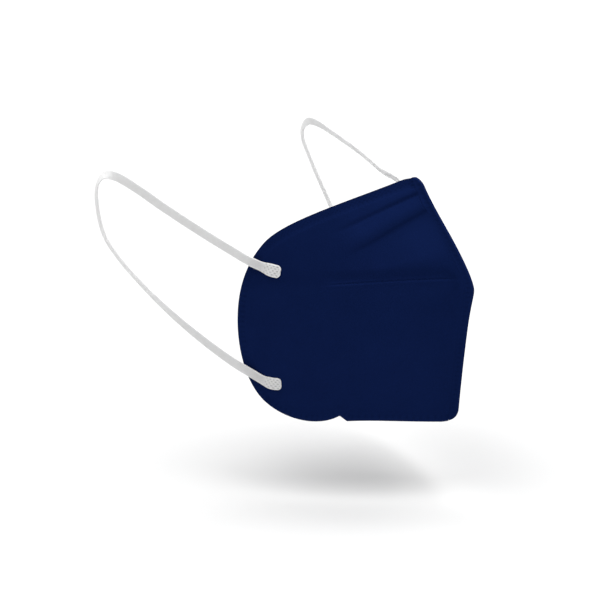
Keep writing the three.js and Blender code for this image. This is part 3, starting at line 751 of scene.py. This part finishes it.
ALUMINIUM = (0.72, 0.73, 0.75, 1)
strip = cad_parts["nose_strip"]
satin_metal = bpy.data.materials.new("satin_aluminium")
satin_metal.use_nodes = True
metal_tree = satin_metal.node_tree
metal_shader = metal_tree.nodes["Principled BSDF"]
metal_shader.inputs["Base Color"].default_value = ALUMINIUM
metal_shader.inputs["Metallic"].default_value = 1.0
metal_place = node(metal_tree, "ShaderNodeTexCoord")
rolling = node(metal_tree, "ShaderNodeTexNoise", {
    "Vector": metal_place.outputs["Object"], "Scale": 900.0, "Detail": 2.0})
dulling = node(metal_tree, "ShaderNodeMapRange", {
    "Value": rolling.outputs["Fac"], "To Min": 0.3, "To Max": 0.5})
metal_tree.links.new(dulling.outputs["Result"], metal_shader.inputs["Roughness"])
strip.data.materials.clear()
strip.data.materials.append(satin_metal)

# ---- Ear loops ------------------------------------------------------------------------------
# Flat knitted elastic, 5 mm wide, one on each half. Both ends are pressed flatter and wider
# and spot-welded to the outside of the shell near the ear edge.

# Rows of a loop from the upper weld to the lower one: out, back and up, and the twist of the
# band in degrees from flat, 0, to square across, 90. A row with no "out" lies on the shell.
RIGHT_LOOP = (
    # out, back, up, turn
    (None, 84.2, 8.2, 0),
    (None, 88.4, 8.8, 0),
    (None, 93.0, 10.2, 0),
    (60.5, 99.5, 13.4, 0),
    (65.0, 109.0, 19.2, 0),
    (71.5, 121.5, 27.5, 0),
    (79.5, 141.0, 40.0, 0),
    (86.0, 156.0, 50.5, 0),
    (90.0, 165.5, 55.7, 14),
    (92.5, 171.0, 56.0, 48),
    (94.0, 174.5, 51.5, 64),
    (94.3, 175.6, 41.5, 54),
    (93.0, 172.6, 24.0, 50),
    (90.0, 166.0, 12.2, 47),
    (84.6, 153.0, -3.2, 40),
    (78.0, 137.0, -18.9, 22),
    (71.5, 121.0, -32.1, 6),
    (65.0, 107.0, -42.8, 0),
    (60.2, 98.0, -48.8, 0),
    (None, 92.5, -52.2, 0),
    (None, 88.5, -53.4, 0),
    (None, 84.2, -53.3, 0),
)
LEFT_LOOP = (
    # out, back, up, turn
    (None, 84.2, 8.2, 0),
    (None, 88.0, 8.8, 0),
    (None, 91.4, 11.4, 0),
    (59.6, 94.4, 17.0, -3),
    (66.0, 93.4, 24.5, -9),
    (73.0, 91.4, 31.5, -16),
    (78.5, 92.5, 37.2, -22),
    (80.0, 98.5, 40.0, -27),
    (80.6, 106.5, 42.8, -28),
    (82.4, 124.6, 52.9, -28),
    (87.5, 149.0, 63.0, -25),
    (91.3, 163.0, 67.6, -14),
    (93.8, 172.0, 68.2, 2),
    (95.2, 177.6, 63.6, 18),
    (95.2, 177.8, 57.0, 18),
    (94.6, 173.2, 48.0, 16),
    (92.5, 165.0, 35.5, 15),
    (87.0, 148.4, 14.0, 12),
    (79.5, 131.6, -10.0, 8),
    (71.5, 119.0, -29.0, 4),
    (65.0, 107.0, -41.6, 1),
    (60.2, 98.0, -48.8, 0),
    (None, 92.5, -52.2, 0),
    (None, 88.5, -53.4, 0),
    (None, 84.2, -53.3, 0),
)
BAND_WIDTH = 5.0
BAND_THICK = 0.9
WELD_WIDTH = 6.8
WELD_THICK = 0.7
WELD_LENGTH = 5.0
WELD_EASE = 7.0
WELD_CORNER = 2.2
WELD_PLAY = 0.12
FLAT_HEADING = 20.0
ROUTE_STEPS = 60
LOOP_STEP = 0.55
LOOP_END_ROWS = np.array((0.03, 0.12, 0.3))
HEADING_STEP = 0.4
RIBS = 8
RIB_DEPTH = 0.05
RIBBED_SHARE = 0.9
ROUND_SIDE_WIDE = (0.97, 1.0, 0.97)
ROUND_SIDE_DEEP = (-0.75, 0, 0.75)
WELD_DOT_PITCH = 2.3
WELD_DOT_DEPTH = 0.16
WELD_DOT_SHIFT = 0.4
DOTTED_START = 0.9
DOTTED_LENGTH = 9.0
DOTTED_SIDE = (2.4, 3.0)


def smooth_route(points, steps):
    """Points and row places along a centripetal curve through the rows of a loop."""
    before_first = 2 * points[0] - points[1]
    past_last = 2 * points[-1] - points[-2]
    points = np.vstack([before_first, points, past_last])
    share = np.arange(steps)[:, None] / steps
    route, places = [], []
    for place in range(1, len(points) - 2):
        before, start, end, after = points[place - 1:place + 3]
        lead, span, trail = (math.sqrt(np.linalg.norm(there - here)) for here, there in
                             ((before, start), (start, end), (end, after)))
        leave = ((start - before) / lead - (end - before) / (lead + span)
                 + (end - start) / span) * span
        arrive = ((end - start) / span - (after - start) / (span + trail)
                  + (after - end) / trail) * span
        route.append((2 * share ** 3 - 3 * share ** 2 + 1) * start
                     + (share ** 3 - 2 * share ** 2 + share) * leave
                     + (3 * share ** 2 - 2 * share ** 3) * end
                     + (share ** 3 - share ** 2) * arrive)
        places.append(place - 1 + share[:, 0])
    route.append(points[-2][None])
    places.append([len(points) - 3])
    return np.vstack(route), np.concatenate(places)


def columns_at(places, table_places, table):
    """Values of a table's columns at places between its rows."""
    return np.stack([np.interp(places, table_places, column) for column in table.T], axis=-1)


def unit(vectors):
    return vectors / np.linalg.norm(vectors, axis=-1, keepdims=True)


def ear_loop(name, side, heading, rows, material):
    """Band swept along its rows, twisted about its own line and pressed wide at both ends."""
    seat = WELD_PLAY + WELD_THICK / 2
    points, faces_out, turns = [], [], []
    for out, back, up, turn in rows:
        yaw = math.radians(FLAT_HEADING + (heading - FLAT_HEADING) * turn / 90)
        if out is None:
            points.append(shell_point(side, np.array(back), np.array(up), seat))
            faces_out.append(shell_normal(side, np.array(back), np.array(up)))
        else:
            points.append(np.array((side * out, back, up)))
            faces_out.append(np.array((side * math.cos(yaw), -math.sin(yaw), 0)))
        turns.append(math.radians(turn))
    dense, dense_places = smooth_route(np.array(points), ROUTE_STEPS)
    steps = np.linalg.norm(np.diff(dense, axis=0), axis=1)
    along_dense = np.concatenate([[0], np.cumsum(steps)])
    length = along_dense[-1]
    between = np.linspace(LOOP_STEP, length - LOOP_STEP, int(length / LOOP_STEP))
    along = np.concatenate([LOOP_END_ROWS, between, length - LOOP_END_ROWS[::-1]])
    centre = columns_at(along, along_dense, dense)
    places = np.interp(along, along_dense, dense_places)
    tangent = unit(columns_at(along + HEADING_STEP, along_dense, dense)
                   - columns_at(along - HEADING_STEP, along_dense, dense))
    row_places = np.arange(len(rows))
    face = columns_at(places, row_places, np.array(faces_out))
    face = unit(face - np.sum(face * tangent, axis=-1, keepdims=True) * tangent)
    across = np.cross(face, tangent)
    turn = np.interp(places, row_places, turns)[:, None]
    face, across = (np.cos(turn) * face + np.sin(turn) * np.cross(tangent, face),
                    np.cos(turn) * across + np.sin(turn) * np.cross(tangent, across))

    to_tip = np.minimum(along, length - along)
    pressed = 1 - ramp(WELD_LENGTH, WELD_LENGTH + WELD_EASE, to_tip)
    in_tip = np.clip(1 - to_tip / WELD_CORNER, 0, 1)
    rounding = 2 * WELD_CORNER * (1 - np.sqrt(1 - in_tip ** 2))
    width = BAND_WIDTH + (WELD_WIDTH - BAND_WIDTH) * pressed - rounding
    thick = BAND_THICK + (WELD_THICK - BAND_THICK) * pressed

    # Half a section from edge to edge: a ribbed face and a rounded side. The other half is the
    # same, turned about the middle.
    flat = np.linspace(-RIBBED_SHARE, RIBBED_SHARE, RIBS * 4 + 1)
    half_wide = np.concatenate([flat, ROUND_SIDE_WIDE])
    half_deep = np.concatenate([np.full(len(flat), -1.0), ROUND_SIDE_DEEP])
    wide = np.concatenate([half_wide, -half_wide])
    deep = np.concatenate([half_deep, -half_deep])
    wave = 0.5 + 0.5 * np.cos(math.pi * RIBS * wide / RIBBED_SHARE)
    rib = np.where(np.abs(wide) <= RIBBED_SHARE, wave, 0)
    crosswise = wide * width[:, None] / 2
    outwards = np.where(deep == 1.0, 1.0, 0.0)
    dot = (dots(to_tip[:, None] + WELD_DOT_SHIFT, crosswise, WELD_DOT_PITCH)
           * window(to_tip[:, None], DOTTED_START, DOTTED_LENGTH)
           * (1 - ramp(*DOTTED_SIDE, np.abs(crosswise))) * outwards)
    depth = deep * thick[:, None] / 2
    depth -= np.sign(deep) * RIB_DEPTH * rib * (1 - pressed[:, None])
    depth -= WELD_DOT_DEPTH * dot
    sections = (centre[:, None] + across[:, None] * crosswise[..., None]
                + face[:, None] * depth[..., None])
    faces = swept_faces(*sections.shape[:2])
    uv = np.stack([along[:, None] + 0 * crosswise, crosswise], axis=-1) * MM
    welded = pressed[:, None] + 0 * crosswise
    return mesh_object(name, sections.reshape(-1, 3), faces, material,
                       [("pressed", dot.ravel()), ("welded", welded.ravel())],
                       uv.reshape(-1, 2))


ELASTIC_WHITE = (0.68, 0.68, 0.68, 1)
# Painted light: the welded ends are coloured a lighter white, for the light that the free band
# gets from all sides.
ELASTIC_WELD_PAINTED_LIGHT = (0.84, 0.84, 0.83, 1)
ELASTIC_WELDED = (0.56, 0.56, 0.55, 1)


def white_elastic():
    """Fine knit: slanted stitches in lengthwise ribs, with grey weld points and painted light at
    the ends.
    """
    material = bpy.data.materials.new("white_elastic")
    material.use_nodes = True
    tree = material.node_tree
    shader = tree.nodes["Principled BSDF"]
    shader.inputs["Roughness"].default_value = 0.9
    shader.inputs["Specular IOR Level"].default_value = 0.0
    shader.inputs["Subsurface Weight"].default_value = 1.0
    shader.inputs["Subsurface Radius"].default_value = (1, 1, 1)
    shader.inputs["Subsurface Scale"].default_value = 2 * MM
    place = node(tree, "ShaderNodeUVMap", uv_map="cloth")
    pressed = node(tree, "ShaderNodeAttribute", attribute_name="pressed")
    welded = node(tree, "ShaderNodeAttribute", attribute_name="welded")
    stitches = node(tree, "ShaderNodeTexWave", {
        "Vector": place.outputs["UV"], "Scale": 220.0, "Distortion": 1.5,
        "Detail": 1.0, "Detail Scale": 2.0}, bands_direction="X")
    fuzz = node(tree, "ShaderNodeTexNoise", {
        "Vector": place.outputs["UV"], "Scale": 2500.0, "Detail": 3.0})
    # Painted light: the welded ends are mixed to the lighter white.
    painted_weld_light = node(tree, "ShaderNodeMix", {
        "Factor": welded.outputs["Fac"],
        "A": ELASTIC_WHITE, "B": ELASTIC_WELD_PAINTED_LIGHT}, data_type="RGBA")
    colour = node(tree, "ShaderNodeMix", {
        "Factor": pressed.outputs["Fac"],
        "A": painted_weld_light.outputs["Result"], "B": ELASTIC_WELDED}, data_type="RGBA")
    tone = node(tree, "ShaderNodeMapRange", {
        "Value": fuzz.outputs["Fac"], "From Min": 0.3, "From Max": 0.7,
        "To Min": 0.95, "To Max": 1.05})
    shade = node(tree, "ShaderNodeVectorMath", {
        0: colour.outputs["Result"], "Scale": tone.outputs["Result"]}, operation="SCALE")
    tree.links.new(shade.outputs[0], shader.inputs["Base Color"])
    rough = node(tree, "ShaderNodeMath", {
        0: stitches.outputs["Fac"], 1: fuzz.outputs["Fac"]}, operation="ADD")
    bump = node(tree, "ShaderNodeBump", {
        "Strength": 0.4, "Distance": 0.0001, "Height": rough.outputs[0]})
    tree.links.new(bump.outputs["Normal"], shader.inputs["Normal"])
    return material


elastic = white_elastic()
LOOPS = (
    ("right_ear_loop", "ear_loop_right", -1, 33.0, RIGHT_LOOP),
    ("left_ear_loop", "ear_loop_left", 1, 0.0, LEFT_LOOP),
)
for name, solid, side, heading, rows in LOOPS:
    loop = ear_loop(name, side, heading, rows, elastic)
    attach(loop, "root")
    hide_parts(solid)
